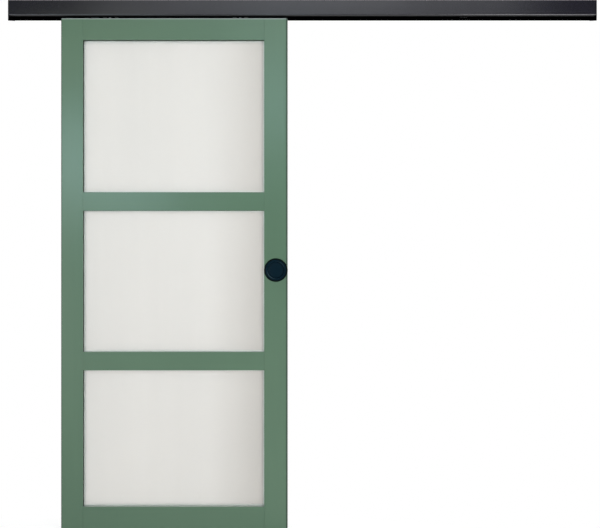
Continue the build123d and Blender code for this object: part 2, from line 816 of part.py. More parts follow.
def pull_cup(face_depth, into):
    """A flush pull on the leaf's front (into 1) or back (into -1)."""
    floor_radius = pull_mouth_radius - pull_sweep
    floor_edge = pull_depth - pull_dish
    outer_radius = pull_mouth_radius + pull_wall
    with BuildPart() as cup:
        with BuildSketch(turned_plane(pull_middle, face_depth, pull_height, into)):
            with BuildLine():
                dish = ThreePointArc(
                    (0, pull_depth),
                    (floor_radius / 2, floor_edge + 0.75 * pull_dish),
                    (floor_radius, floor_edge),
                )
                sweep_end = (pull_mouth_radius, floor_edge - pull_sweep)
                wall = TangentArc(dish @ 1, sweep_end, tangent=dish % 1)
                mouth = Line(wall @ 1, (pull_mouth_radius, -pull_proud + pull_edge))
                lip = TangentArc(mouth @ 1, (pull_mouth_radius + pull_edge, -pull_proud), tangent=mouth % 1)
                crown = Line(lip @ 1, (pull_radius - pull_proud, -pull_proud))
                rim = ThreePointArc(
                    crown @ 1,
                    (
                        pull_radius - pull_proud + pull_proud * cos(radians(45)),
                        -pull_proud * cos(radians(45)),
                    ),
                    (pull_radius, 0),
                )
                Polyline(
                    rim @ 1,
                    (outer_radius, 0),
                    (outer_radius, pull_depth + pull_wall - pull_sweep),
                    (outer_radius - pull_sweep, pull_depth + pull_wall),
                    (0, pull_depth + pull_wall),
                    (0, pull_depth),
                )
            make_face()
        revolve(axis=Axis((pull_middle, -face_depth, pull_height), (0, 1, 0)))
    return cup


save(pull_cup(leaf_front, 1), "pull_cup_front")
save(pull_cup(leaf_back, -1), "pull_cup_back")
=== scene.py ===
"""Looks of the sliding glazed door: finishes, fine hardware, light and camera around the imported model.

Metres, in the model's own frame: +X right along the rail, +Y into the wall, +Z up, and the origin in
the middle of the rail's wall-fixing hole line.
"""

import json
from math import atan, pi, radians

import bmesh
import bpy
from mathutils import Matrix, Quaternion, Vector


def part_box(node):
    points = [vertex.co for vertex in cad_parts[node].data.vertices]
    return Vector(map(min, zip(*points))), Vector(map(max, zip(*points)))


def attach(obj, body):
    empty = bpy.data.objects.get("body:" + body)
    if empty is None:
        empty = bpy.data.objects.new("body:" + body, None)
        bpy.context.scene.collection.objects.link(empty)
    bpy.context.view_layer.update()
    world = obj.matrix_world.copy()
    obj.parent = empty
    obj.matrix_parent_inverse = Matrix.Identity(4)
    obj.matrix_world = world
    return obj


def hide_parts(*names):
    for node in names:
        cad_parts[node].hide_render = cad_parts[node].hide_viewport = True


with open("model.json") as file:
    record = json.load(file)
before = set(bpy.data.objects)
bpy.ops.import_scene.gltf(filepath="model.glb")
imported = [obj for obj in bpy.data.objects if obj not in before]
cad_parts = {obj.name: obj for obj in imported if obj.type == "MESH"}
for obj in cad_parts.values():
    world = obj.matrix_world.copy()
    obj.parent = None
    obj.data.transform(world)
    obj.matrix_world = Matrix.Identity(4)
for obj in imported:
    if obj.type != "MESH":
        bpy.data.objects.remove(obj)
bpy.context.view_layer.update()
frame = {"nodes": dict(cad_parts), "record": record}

nodes_of_part = frame["nodes"]

# The photograph: its frame and focal length in pixels, and where the camera stood
PHOTO_WIDTH = 600
FOCAL_PIXELS = 753.8
CAMERA_DISTANCE = 3.150
CAMERA_X = -0.0098
CAMERA_DROP = 1.0101

# Places taken from the model
stile_left_low, stile_left_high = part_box("stile_left")
stile_right_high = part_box("stile_right")[1]
glass_low, glass_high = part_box("glass_upper")
pull_low, pull_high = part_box("pull_cup_front")
leaf_front = stile_left_low[1]
leaf_bottom = stile_left_low[2]
leaf_top = stile_left_high[2]
leaf_left = stile_left_low[0]
leaf_right = stile_right_high[0]
leaf_middle = (leaf_left + leaf_right) / 2
floor_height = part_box("floor_guide")[0][2]
camera_height = leaf_top - CAMERA_DROP
pull_x = (pull_low[0] + pull_high[0]) / 2
pull_z = (pull_low[2] + pull_high[2]) / 2

# The panes: the edge of the glass that the frame hides, and the painted light line inside it
PANES = ("upper", "middle", "lower")
GLASS_COVER = 0.0075
PANE_MARGIN = 0.0045
sight_left = glass_low[0] + GLASS_COVER
sight_right = glass_high[0] - GLASS_COVER


# Shader node helpers


def new_material(name):
    """A node material with its output and one Principled shader."""
    material = bpy.data.materials.new(name)
    material.use_nodes = True
    tree = material.node_tree
    tree.nodes.clear()
    output = tree.nodes.new("ShaderNodeOutputMaterial")
    shader = tree.nodes.new("ShaderNodeBsdfPrincipled")
    tree.links.new(shader.outputs["BSDF"], output.inputs["Surface"])
    return material, tree, shader


def object_place(tree, stretch=(1, 1, 1), shift=(0, 0, 0)):
    """Object coordinates, moved and stretched so that a pattern runs along a piece."""
    place = tree.nodes.new("ShaderNodeTexCoord")
    mapping = tree.nodes.new("ShaderNodeMapping")
    mapping.inputs["Scale"].default_value = stretch
    mapping.inputs["Location"].default_value = shift
    tree.links.new(place.outputs["Object"], mapping.inputs["Vector"])
    return mapping.outputs["Vector"]


def axes(tree, vector):
    """The three parts of a vector."""
    parts = tree.nodes.new("ShaderNodeSeparateXYZ")
    tree.links.new(vector, parts.inputs["Vector"])
    return parts.outputs["X"], parts.outputs["Y"], parts.outputs["Z"]


def combine(tree, operation, first, second):
    """Two values put together, either of them a socket or a number."""
    node = tree.nodes.new("ShaderNodeMath")
    node.operation = operation
    for socket, value in zip(node.inputs, (first, second)):
        if isinstance(value, bpy.types.NodeSocket):
            tree.links.new(value, socket)
        else:
            socket.default_value = value
    return node.outputs[0]


def spread(tree, value, low, high, from_low=0.3, from_high=0.7):
    """A value carried from one range to another, held at the ends."""
    ranged = tree.nodes.new("ShaderNodeMapRange")
    ranged.inputs["From Min"].default_value = from_low
    ranged.inputs["From Max"].default_value = from_high
    ranged.inputs["To Min"].default_value = low
    ranged.inputs["To Max"].default_value = high
    tree.links.new(value, ranged.inputs["Value"])
    return ranged.outputs["Result"]


def between(tree, value, low, high, edge):
    """1 where a value lies between two limits, 0 outside, with a soft edge."""
    rise = spread(tree, value, 0, 1, low - edge, low + edge)
    fall = spread(tree, value, 1, 0, high - edge, high + edge)
    return combine(tree, "MULTIPLY", rise, fall)


def noise(tree, vector, scale, detail=2.0, roughness=0.5):
    """A noise texture's value."""
    texture = tree.nodes.new("ShaderNodeTexNoise")
    texture.inputs["Scale"].default_value = scale
    texture.inputs["Detail"].default_value = detail
    texture.inputs["Roughness"].default_value = roughness
    tree.links.new(vector, texture.inputs["Vector"])
    return texture.outputs["Fac"]


def blend_colours(tree, factor, first, second):
    """A colour between two others, each a socket or three numbers."""
    mix = tree.nodes.new("ShaderNodeMix")
    mix.data_type = "RGBA"
    mix.clamp_factor = True
    tree.links.new(factor, mix.inputs[0])
    for socket, colour in ((mix.inputs[6], first), (mix.inputs[7], second)):
        if isinstance(colour, bpy.types.NodeSocket):
            tree.links.new(colour, socket)
        else:
            socket.default_value = (*colour, 1.0)
    return mix.outputs[2]


def tinted(tree, colour, where, share, shade):
    """A colour carried part of the way to a shade, where a mask says so."""
    return blend_colours(tree, combine(tree, "MULTIPLY", where, share), colour, shade)


def length_of(tree, vector):
    """How long a vector is."""
    measure = tree.nodes.new("ShaderNodeVectorMath")
    measure.operation = "LENGTH"
    tree.links.new(vector, measure.inputs[0])
    return measure.outputs["Value"]


def relief(tree, shader, height, distance):
    """Bumps on the surface, their height in metres."""
    bumps = tree.nodes.new("ShaderNodeBump")
    bumps.inputs["Distance"].default_value = distance
    tree.links.new(height, bumps.inputs["Height"])
    tree.links.new(bumps.outputs["Normal"], shader.inputs["Normal"])


# Finishes


# Lacquer colours, and how far its painted shade and painted light reach in metres
SAGE = (0.100, 0.188, 0.114)
SAGE_CLOUD = (0.092, 0.175, 0.106)
SAGE_GRAIN = (0.080, 0.152, 0.092)
PAINTED_OPENING_SHADE = (0.008, 0.018, 0.011)
PAINTED_SILL_LIGHT = (0.42, 0.48, 0.43)
HAIRLINE_DARK = (0.020, 0.040, 0.024)
ARRIS_PAINTED_HIGHLIGHT = (0.36, 0.39, 0.38)
OUTER_EDGE_PAINTED_SHADE = (0.020, 0.032, 0.024)
LIP_DEPTH = 0.0022
PAST_GLASS = 0.004
OPENING_BLUR = 0.0008
FACE_BLUR = 0.001
HAIRLINE_HALF = 0.0004
HAIRLINE_BLUR = 0.0001
ARRIS_HEIGHT = 0.0052
ARRIS_DEPTH = 0.004
ARRIS_BLUR = 0.0006
ARRIS_DEPTH_BLUR = 0.0008
PAST_FACE = 0.001
RIGHT_EDGE_START = 0.0072
RIGHT_EDGE_FULL = 0.0060
LEFT_EDGE_FULL = 0.0034
LEFT_EDGE_END = 0.0044
# Kept clear of 0.274, where reflections change in a step and draw contour lines on the lacquer
LACQUER_SMOOTH = 0.285
LACQUER_ROUGH = 0.315


def sage_lacquer(name, along_grain, inner_faces, joints=()):
    """Satin lacquer on timber: fine orange peel and a trace of grain along the member.

    Painted shade lies on the faces round the panes and the outer edges, painted light on the sills and upper
    arris.
    """
    material, tree, shader = new_material(name)
    place = object_place(tree)
    x, y, z = axes(tree, place)
    cloud = noise(tree, place, scale=2.2, detail=3.0)
    grain = noise(tree, object_place(tree, along_grain), scale=60.0, detail=4.0, roughness=0.6)
    peel = noise(tree, place, scale=160.0, detail=1.0)
    colour = blend_colours(tree, spread(tree, cloud, 0, 1), SAGE_CLOUD, SAGE)
    colour = blend_colours(tree, spread(tree, grain, 0, 0.22), colour, SAGE_GRAIN)
    # Painted shade on the faces that look into a pane's opening, and painted light on its sills, the ones
    # that face up
    depth = between(tree, y, leaf_front + LIP_DEPTH, glass_low[1] + PAST_GLASS, OPENING_BLUR)
    low_x, high_x, low_z, high_z = inner_faces
    across = between(tree, x, low_x, high_x, FACE_BLUR)
    upright = between(tree, z, low_z, high_z, FACE_BLUR)
    facing = tree.nodes.new("ShaderNodeNewGeometry")
    facing_up = spread(tree, axes(tree, facing.outputs["Normal"])[2], 0, 1, from_low=0.4, from_high=0.6)
    opening = combine(tree, "MULTIPLY", depth, combine(tree, "MULTIPLY", across, upright))
    sill_light_mask = combine(tree, "MULTIPLY", opening, facing_up)
    opening_shade_mask = combine(tree, "SUBTRACT", opening, sill_light_mask)
    colour = tinted(tree, colour, opening_shade_mask, 0.9, PAINTED_OPENING_SHADE)
    colour = tinted(tree, colour, sill_light_mask, 0.8, PAINTED_SILL_LIGHT)
    # Hairlines where the cross members butt against the stiles
    for joint_x in joints:
        line = between(tree, x, joint_x - HAIRLINE_HALF, joint_x + HAIRLINE_HALF, HAIRLINE_BLUR)
        colour = tinted(tree, colour, line, 0.6, HAIRLINE_DARK)
    # A painted highlight on the upper arris, and painted shade down the outer edges
    upper_edge = between(tree, z, leaf_top - ARRIS_HEIGHT, leaf_top + PAST_FACE, ARRIS_BLUR)
    front_edge = between(tree, y, leaf_front - PAST_FACE, leaf_front + ARRIS_DEPTH, ARRIS_DEPTH_BLUR)
    arris = combine(tree, "MULTIPLY", upper_edge, front_edge)
    colour = tinted(tree, colour, arris, 0.85, ARRIS_PAINTED_HIGHLIGHT)
    # Painted shade, darker down the outer edges of the leaf
    right_edge = spread(tree, x, 0, 1, leaf_right - RIGHT_EDGE_START, leaf_right - RIGHT_EDGE_FULL)
    left_edge = spread(tree, x, 1, 0, leaf_left + LEFT_EDGE_FULL, leaf_left + LEFT_EDGE_END)
    edges = combine(tree, "MAXIMUM", right_edge, left_edge)
    colour = tinted(tree, colour, edges, 0.7, OUTER_EDGE_PAINTED_SHADE)
    tree.links.new(colour, shader.inputs["Base Color"])
    dull = combine(tree, "MULTIPLY", combine(tree, "MAXIMUM", opening_shade_mask, edges), 0.5)
    gloss = spread(tree, cloud, LACQUER_SMOOTH, LACQUER_ROUGH)
    tree.links.new(combine(tree, "ADD", gloss, dull), shader.inputs["Roughness"])
    shader.inputs["Specular IOR Level"].default_value = 0.6
    relief(tree, shader, peel, distance=0.00003)
    return material


# Glass colours, and where its painted shade starts and stops beside the right edge of the opening
PANE_WHITE = (0.932, 0.906, 0.872)
PANE_STREAK = (0.912, 0.886, 0.852)
PANE_CLOUD = (0.896, 0.870, 0.838)
PANE_PAINTED_SHADE = (0.705, 0.672, 0.632)
PANE_PAINTED_EDGE_LIGHT = (0.97, 1.0, 0.96)
SHADE_START = 0.250
SHADE_PAST = 0.010
SHADE_CURVE = 1.3
MARGIN_BLUR = 0.0008


def frosted_pane():
    """Satin-etched white glass: fine frost, faint upright streaks, painted shade towards the right stile."""
    material, tree, shader = new_material("frosted_pane")
    place = object_place(tree)
    x, _, z = axes(tree, place)
    streaks = noise(tree, object_place(tree, (1, 1, 0.04)), scale=14.0, detail=2.0)
    clouds = noise(tree, place, scale=5.0, detail=2.0)
    frost = noise(tree, place, scale=700.0, detail=1.0)
    colour = blend_colours(tree, spread(tree, streaks, 0, 1), PANE_STREAK, PANE_WHITE)
    colour = blend_colours(tree, spread(tree, clouds, 0, 0.25), colour, PANE_CLOUD)
    # Painted shade, darker towards the right edge of the opening
    right_shade_mask = spread(tree, x, 0, 1, sight_right - SHADE_START, sight_right + SHADE_PAST)
    right_shade_mask = combine(tree, "POWER", right_shade_mask, SHADE_CURVE)
    colour = blend_colours(tree, right_shade_mask, colour, PANE_PAINTED_SHADE)
    # A painted light line round each pane, just inside the frame
    inside_x = between(tree, x, sight_left + PANE_MARGIN, sight_right - PANE_MARGIN, MARGIN_BLUR)
    inside_z = 0.0
    for pane in PANES:
        low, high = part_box(f"glass_{pane}")
        low_z = low[2] + GLASS_COVER + PANE_MARGIN
        high_z = high[2] - GLASS_COVER - PANE_MARGIN
        inside_z = combine(tree, "MAXIMUM", inside_z, between(tree, z, low_z, high_z, MARGIN_BLUR))
    edge_light_mask = combine(tree, "SUBTRACT", 1.0, combine(tree, "MULTIPLY", inside_x, inside_z))
    colour = blend_colours(tree, edge_light_mask, colour, PANE_PAINTED_EDGE_LIGHT)
    tree.links.new(colour, shader.inputs["Base Color"])
    tree.links.new(spread(tree, streaks, 0.50, 0.58), shader.inputs["Roughness"])
    shader.inputs["Specular IOR Level"].default_value = 0.25
    shader.inputs["Transmission Weight"].default_value = 0.55
    relief(tree, shader, frost, distance=0.00002)
    return material


# Painted shade on faces that look down: the upward part of a face's normal at which it counts as looking
# down, fully and not at all
DOWN_FULL = -0.95
DOWN_NONE = -0.75
UNDERSIDE_PAINTED_SHADE = (0.0008, 0.0008, 0.0009)


def powder_coat(name, colour, deep, rough, specular, shade_below=False):
    """Fine-textured powder coat on aluminium, on request with painted shade, black and dull, on faces that
    look down.
    """
    material, tree, shader = new_material(name)
    place = object_place(tree)
    grit = noise(tree, place, scale=2600.0, detail=2.0, roughness=0.6)
    cloud = noise(tree, place, scale=3.0, detail=2.0)
    mixed = blend_colours(tree, spread(tree, grit, 0, 1), deep, colour)
    roughness = spread(tree, cloud, rough, rough + 0.03)
    # Painted shade: on request, faces that look down turn black and dull
    if shade_below:
        surface = tree.nodes.new("ShaderNodeNewGeometry")
        down = spread(tree, axes(tree, surface.outputs["Normal"])[2], 1, 0, DOWN_FULL, DOWN_NONE)
        mixed = blend_colours(tree, down, mixed, UNDERSIDE_PAINTED_SHADE)
        roughness = combine(tree, "ADD", roughness, combine(tree, "MULTIPLY", down, 0.6))
    tree.links.new(mixed, shader.inputs["Base Color"])
    tree.links.new(roughness, shader.inputs["Roughness"])
    shader.inputs["Specular IOR Level"].default_value = specular
    relief(tree, shader, grit, distance=0.00001)
    return material


# Colours of the pull with its painted reflection and highlights, its radii in metres, and where the
# highlights on its mouth lie: the slant is x plus z over radius
PULL_RIM = (0.0002, 0.0034, 0.0040)
PULL_DISH_REFLECTION = (0.0026, 0.0155, 0.0270)
PULL_MOUTH_HIGHLIGHT = (0.060, 0.100, 0.120)
PULL_GRIT = (0.0006, 0.0030, 0.0050)
RING_PITCH = 0.0009
DISH_RADIUS = 0.0400
RIM_RADIUS = 0.0430
MOUTH_INNER = 0.0345
MOUTH_OUTER = 0.0370
MOUTH_BLUR = 0.0006
LOW_LEFT_FULL = -1.40
LOW_LEFT_END = -1.05
HIGH_RIGHT_START = 1.10
HIGH_RIGHT_FULL = 1.40


def turned_black():
    """Blackened flush pull: a dark rim, a dish with a bluish painted reflection, and the fine rings that
    turning leaves.
    """
    material, tree, shader = new_material("turned_black")
    place = object_place(tree, (1, 0, 1), (-pull_x, 0, -pull_z))
    radius = length_of(tree, place)
    rings = combine(tree, "SINE", combine(tree, "MULTIPLY", radius, 2 * pi / RING_PITCH), 0)
    grit = noise(tree, object_place(tree), scale=2600.0, detail=2.0, roughness=0.6)
    # The dish is lighter and bluer: a painted reflection
    dish = spread(tree, radius, 1, 0, DISH_RADIUS, RIM_RADIUS)
    colour = blend_colours(tree, dish, PULL_RIM, PULL_DISH_REFLECTION)
    # Painted highlights on the mouth's edge, low on the left and a little high on the right
    x, _, z = axes(tree, place)
    slant = combine(tree, "DIVIDE", combine(tree, "ADD", x, z), radius)
    low_left = spread(tree, slant, 1, 0, LOW_LEFT_FULL, LOW_LEFT_END)
    high_right = spread(tree, slant, 0, 0.45, HIGH_RIGHT_START, HIGH_RIGHT_FULL)
    edge = between(tree, radius, MOUTH_INNER, MOUTH_OUTER, MOUTH_BLUR)
    mouth_highlight = combine(tree, "MULTIPLY", edge, combine(tree, "MAXIMUM", low_left, high_right))
    colour = blend_colours(tree, mouth_highlight, colour, PULL_MOUTH_HIGHLIGHT)
    colour = blend_colours(tree, spread(tree, grit, 0, 0.4), colour, PULL_GRIT)
    tree.links.new(colour, shader.inputs["Base Color"])
    roughness = combine(tree, "SUBTRACT", 0.55, combine(tree, "MULTIPLY", dish, 0.22))
    tree.links.new(roughness, shader.inputs["Roughness"])
    shader.inputs["Specular IOR Level"].default_value = 0.05
    relief(tree, shader, rings, distance=0.00001)
    return material


def bare_metal(name, colour, rough, along=(1, 1, 1)):
    """Bare or plated metal with fine drawing marks."""
    material, tree, shader = new_material(name)
    marks = noise(tree, object_place(tree, along), scale=800.0, detail=3.0, roughness=0.6)
    stain = noise(tree, object_place(tree), scale=25.0, detail=3.0)
    drawn = tuple(0.80 * part for part in colour)
    stained = tuple(0.70 * part for part in colour)
    mixed = blend_colours(tree, spread(tree, marks, 0, 1), drawn, colour)
    mixed = blend_colours(tree, spread(tree, stain, 0, 0.3), mixed, stained)
    tree.links.new(mixed, shader.inputs["Base Color"])
    tree.links.new(spread(tree, marks, rough, rough + 0.12), shader.inputs["Roughness"])
    shader.inputs["Metallic"].default_value = 1.0
    relief(tree, shader, marks, distance=0.00001)
    return material


def moulding(name, colour, lighter, rough):
    """Rubber, plastic or plain wood with a fine surface grain."""
    material, tree, shader = new_material(name)
    place = object_place(tree)
    grain = noise(tree, place, scale=1500.0, detail=2.0)
    cloud = noise(tree, place, scale=30.0, detail=2.0)
    mixed = blend_colours(tree, spread(tree, cloud, 0, 1), colour, lighter)
    tree.links.new(mixed, shader.inputs["Base Color"])
    tree.links.new(spread(tree, cloud, rough, rough + 0.1), shader.inputs["Roughness"])
    relief(tree, shader, grain, distance=0.00002)
    return material


# Limits across and upright of the faces round the panes, far out where nothing bounds them
OUTER_STRIP = 0.03
RAIL_SKIN = 0.006
BEYOND = 1
stile_faces = (leaf_left + OUTER_STRIP, leaf_right - OUTER_STRIP, leaf_bottom - BEYOND, leaf_top + BEYOND)
rail_faces = (leaf_left - BEYOND, leaf_right + BEYOND, leaf_bottom + RAIL_SKIN, leaf_top - RAIL_SKIN)

lacquer_upright = sage_lacquer("lacquer_upright", (1, 1, 0.05), stile_faces)
lacquer_across = sage_lacquer("lacquer_across", (0.05, 1, 1), rail_faces, (sight_left, sight_right))
pane_finish = frosted_pane()
anthracite = powder_coat(
    "anthracite",
    colour=(0.0050, 0.0044, 0.0120),
    deep=(0.0034, 0.0030, 0.0090),
    rough=0.20,
    specular=0.6,
    shade_below=True,
)
# The track's finish: near black and unreflective, a painted shade for its underside seen in shadow
track_painted_shade = powder_coat(
    "track_painted_shade",
    colour=(0.0012, 0.0012, 0.0015),
    deep=(0.0008, 0.0008, 0.0010),
    rough=0.70,
    specular=0.0,
)
cap_black = powder_coat(
    "cap_black",
    colour=(0.0018, 0.0018, 0.0022),
    deep=(0.0012, 0.0012, 0.0016),
    rough=0.60,
    specular=0.0,
)
pull_finish = turned_black()
bare_aluminium = bare_metal("bare_aluminium", (0.62, 0.63, 0.64), rough=0.32, along=(0.02, 1, 1))
zinc = bare_metal("zinc", (0.55, 0.56, 0.57), rough=0.25)
rubber = moulding("rubber", (0.015, 0.015, 0.016), (0.022, 0.022, 0.023), rough=0.6)
dark_plastic = moulding("dark_plastic", (0.03, 0.03, 0.033), (0.045, 0.045, 0.048), rough=0.45)
nylon = moulding("nylon", (0.66, 0.66, 0.62), (0.74, 0.74, 0.70), rough=0.4)
beech = moulding("beech", (0.50, 0.34, 0.19), (0.60, 0.43, 0.26), rough=0.6)

finish_of_slot = {
    "frame_lacquer": lacquer_upright,
    "frosted_glass": pane_finish,
    "rail_coating": anthracite,
    "pull_black": pull_finish,
    "mill_aluminium": bare_aluminium,
    "zinc_steel": zinc,
    "black_rubber": rubber,
    "guide_plastic": dark_plastic,
    "wheel_nylon": nylon,
    "dowel_wood": beech,
}
finish_of_node = {
    "top_rail": lacquer_across,
    "upper_transom": lacquer_across,
    "lower_transom": lacquer_across,
    "bottom_rail": lacquer_across,
    "track": track_painted_shade,
}
for entry in frame["record"]["subparts"]:
    name = entry["node"]
    finish = finish_of_node.get(name, finish_of_slot[entry["material_slot"]])
    if name.startswith("bead_") and name.endswith(("_top", "_bottom")):
        finish = lacquer_across
    piece = nodes_of_part[name]
    piece.data.materials.clear()
    piece.data.materials.append(finish)


# End caps

# The share of the skirt's drop that is left at the wall, and the distance that merges the loose corners
CAP_WALL_SHARE = 0.06
CAP_WELD = 1e-6


def raked_cap(side):
    """An end cap whose skirt rises from the front to just below the rail's underside at the wall."""
    node = f"end_cap_{side}"
    cap = bmesh.new()
    cap.from_mesh(nodes_of_part[node].data)
    bmesh.ops.remove_doubles(cap, verts=cap.verts[:], dist=CAP_WELD)
    low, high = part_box(node)
    rail_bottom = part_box("track")[0][2]
    for vertex in cap.verts:
        if vertex.co.z < rail_bottom:
            forward = (high[1] - vertex.co.y) / (high[1] - low[1])
            drop = (rail_bottom - vertex.co.z) * (CAP_WALL_SHARE + (1 - CAP_WALL_SHARE) * forward)
            vertex.co.z = rail_bottom - drop
    mesh = bpy.data.meshes.new(f"raked_cap_{side}")
    cap.to_mesh(mesh)
    cap.free()
    mesh.materials.append(cap_black)
    piece = bpy.data.objects.new(f"raked_cap_{side}", mesh)
    bpy.context.collection.objects.link(piece)
    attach(piece, "rail")
    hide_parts(node)


raked_cap("left")
raked_cap("right")


# Small pieces that repeat, made with geometry nodes


def new_tree(name, inputs):
    """A geometry node tree with its named inputs, each a name, a socket type and a default value."""
    tree = bpy.data.node_groups.new(name, "GeometryNodeTree")
    tree.interface.new_socket("Geometry", in_out="INPUT", socket_type="NodeSocketGeometry")
    tree.interface.new_socket("Geometry", in_out="OUTPUT", socket_type="NodeSocketGeometry")
    for title, kind, value in inputs:
        socket = tree.interface.new_socket(title, in_out="INPUT", socket_type=kind)
        if value is not None:
            socket.default_value = value
    return tree, tree.nodes.new("NodeGroupInput"), tree.nodes.new("NodeGroupOutput")


def made_piece(name, start_mesh, tree, values, body):
    """The tree's result on a start mesh, as one finished mesh piece that rides on a body."""
    holder = bpy.data.objects.new(name + "_start", start_mesh)
    bpy.context.collection.objects.link(holder)
    modifier = holder.modifiers.new("make", "NODES")
    modifier.node_group = tree
    sockets = {item.name: item for item in tree.interface.items_tree if item.in_out == "INPUT"}
    for title, value in values.items():
        modifier[sockets[title].identifier] = value
    graph = bpy.context.evaluated_depsgraph_get()
    graph.update()
    mesh = bpy.data.meshes.new_from_object(holder.evaluated_get(graph), depsgraph=graph)
    mesh.name = name
    bpy.data.objects.remove(holder)
    piece = bpy.data.objects.new(name, mesh)
    bpy.context.collection.objects.link(piece)
    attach(piece, body)


def line_mesh(name, segments):
    """A mesh of loose edges, one for each pair of points."""
    mesh = bpy.data.meshes.new(name)
    points = [point for segment in segments for point in segment]
    mesh.from_pydata(points, [(2 * i, 2 * i + 1) for i in range(len(segments))], [])
    return mesh


def placed_along(tree, given, result, step, small, weld=0.0):
    """A small mesh at even steps along the given lines, made real, welded where asked, and finished."""
    curve = tree.nodes.new("GeometryNodeMeshToCurve")
    resample = tree.nodes.new("GeometryNodeResampleCurve")
    resample.mode = "LENGTH"
    put = tree.nodes.new("GeometryNodeInstanceOnPoints")
    real = tree.nodes.new("GeometryNodeRealizeInstances")
    paint = tree.nodes.new("GeometryNodeSetMaterial")
    tree.links.new(given.outputs["Geometry"], curve.inputs["Mesh"])
    tree.links.new(curve.outputs["Curve"], resample.inputs["Curve"])
    tree.links.new(given.outputs[step], resample.inputs["Length"])
    tree.links.new(resample.outputs["Curve"], put.inputs["Points"])
    tree.links.new(small, put.inputs["Instance"])
    tree.links.new(put.outputs["Instances"], real.inputs["Geometry"])
    made = real.outputs["Geometry"]
    if weld:
        merge = tree.nodes.new("GeometryNodeMergeByDistance")
        merge.inputs["Distance"].default_value = weld
        tree.links.new(made, merge.inputs["Geometry"])
        made = merge.outputs["Geometry"]
    tree.links.new(made, paint.inputs["Geometry"])
    tree.links.new(given.outputs["Finish"], paint.inputs["Material"])
    tree.links.new(paint.outputs["Geometry"], result.inputs["Geometry"])
    return put


# Bead pins: sizes in metres, and how round a head is
PIN_SPACING = 0.120
PIN_RADIUS = 0.0010
PIN_RISE = 0.0003
PIN_END_GAP = 0.035
PIN_SEGMENTS = 12
PIN_RINGS = 6


def pin_tree():
    """Small domed pin heads at even steps along the lines that it is given."""
    inputs = (
        ("Spacing", "NodeSocketFloat", PIN_SPACING),
        ("Head radius", "NodeSocketFloat", PIN_RADIUS),
        ("Head rise", "NodeSocketFloat", PIN_RISE),
        ("Finish", "NodeSocketMaterial", None),
    )
    tree, given, result = new_tree("bead_pins", inputs)
    head = tree.nodes.new("GeometryNodeMeshUVSphere")
    head.inputs["Segments"].default_value = PIN_SEGMENTS
    head.inputs["Rings"].default_value = PIN_RINGS
    size = tree.nodes.new("ShaderNodeCombineXYZ")
    for axis, title in (("X", "Head radius"), ("Y", "Head rise"), ("Z", "Head radius")):
        tree.links.new(given.outputs[title], size.inputs[axis])
    put = placed_along(tree, given, result, "Spacing", head.outputs["Mesh"])
    tree.links.new(size.outputs["Vector"], put.inputs["Scale"])
    return tree


def bead_pins():
    """Pins that hold the glazing beads, along the middle of each bead's back face."""
    segments = []
    for pane in PANES:
        for side in ("left", "right", "top", "bottom"):
            low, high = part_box(f"bead_{pane}_{side}")
            middle = (low + high) / 2
            if side in ("left", "right"):
                first = (middle[0], high[1], low[2] + PIN_END_GAP)
                last = (middle[0], high[1], high[2] - PIN_END_GAP)
            else:
                first = (low[0] + PIN_END_GAP, high[1], middle[2])
                last = (high[0] - PIN_END_GAP, high[1], middle[2])
            segments.append([first, last])
    lines = line_mesh("bead_lines", segments)
    made_piece("bead_pins", lines, pin_tree(), {"Finish": zinc}, "leaf")


# Bolt threads: sizes in metres, and how round a ridge is
BOLT_RADIUS = 0.004
THREAD_PITCH = 0.00125
THREAD_RISE = 0.00035
THREAD_SIDES = 24
THREAD_WELD = 0.00002


def thread_tree():
    """Thread ridges stacked along the lines that it is given, each a rising band and a falling one."""
    inputs = (
        ("Pitch", "NodeSocketFloat", THREAD_PITCH),
        ("Root radius", "NodeSocketFloat", BOLT_RADIUS),
        ("Crest radius", "NodeSocketFloat", BOLT_RADIUS + THREAD_RISE),
        ("Finish", "NodeSocketMaterial", None),
    )
    tree, given, result = new_tree("bolt_threads", inputs)
    half = tree.nodes.new("ShaderNodeMath")
    half.operation = "MULTIPLY"
    half.inputs[1].default_value = 0.5
    tree.links.new(given.outputs["Pitch"], half.inputs[0])
    join = tree.nodes.new("GeometryNodeJoinGeometry")
    for lower, upper, step in (("Root radius", "Crest radius", 0.0), ("Crest radius", "Root radius", 1.0)):
        ridge = tree.nodes.new("GeometryNodeMeshCone")
        ridge.fill_type = "NONE"
        ridge.inputs["Vertices"].default_value = THREAD_SIDES
        tree.links.new(given.outputs[lower], ridge.inputs["Radius Bottom"])
        tree.links.new(given.outputs[upper], ridge.inputs["Radius Top"])
        tree.links.new(half.outputs[0], ridge.inputs["Depth"])
        lift = tree.nodes.new("ShaderNodeMath")
        lift.operation = "MULTIPLY"
        lift.inputs[1].default_value = step
        tree.links.new(half.outputs[0], lift.inputs[0])
        offset = tree.nodes.new("ShaderNodeCombineXYZ")
        tree.links.new(lift.outputs[0], offset.inputs["Z"])
        move = tree.nodes.new("GeometryNodeTransform")
        tree.links.new(ridge.outputs["Mesh"], move.inputs["Geometry"])
        tree.links.new(offset.outputs["Vector"], move.inputs["Translation"])
        tree.links.new(move.outputs["Geometry"], join.inputs["Geometry"])
    placed_along(tree, given, result, "Pitch", join.outputs["Geometry"], THREAD_WELD)
    return tree


def hanger_threads():
    """The bare thread of each hanger bolt between its lock nut and the trolley."""
    segments = []
    nuts_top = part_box("hanger_nuts")[1][2]
    for side in ("left", "right"):
        low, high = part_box(f"hanger_bolt_{side}")
        x, y = (low[0] + high[0]) / 2, (low[1] + high[1]) / 2
        trolley_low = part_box(f"trolley_body_{side}")[0][2]
        segments.append([(x, y, nuts_top), (x, y, trolley_low - THREAD_PITCH)])
    lines = line_mesh("bolt_lines", segments)
    made_piece("hanger_threads", lines, thread_tree(), {"Finish": zinc}, "leaf")


bead_pins()
hanger_threads()


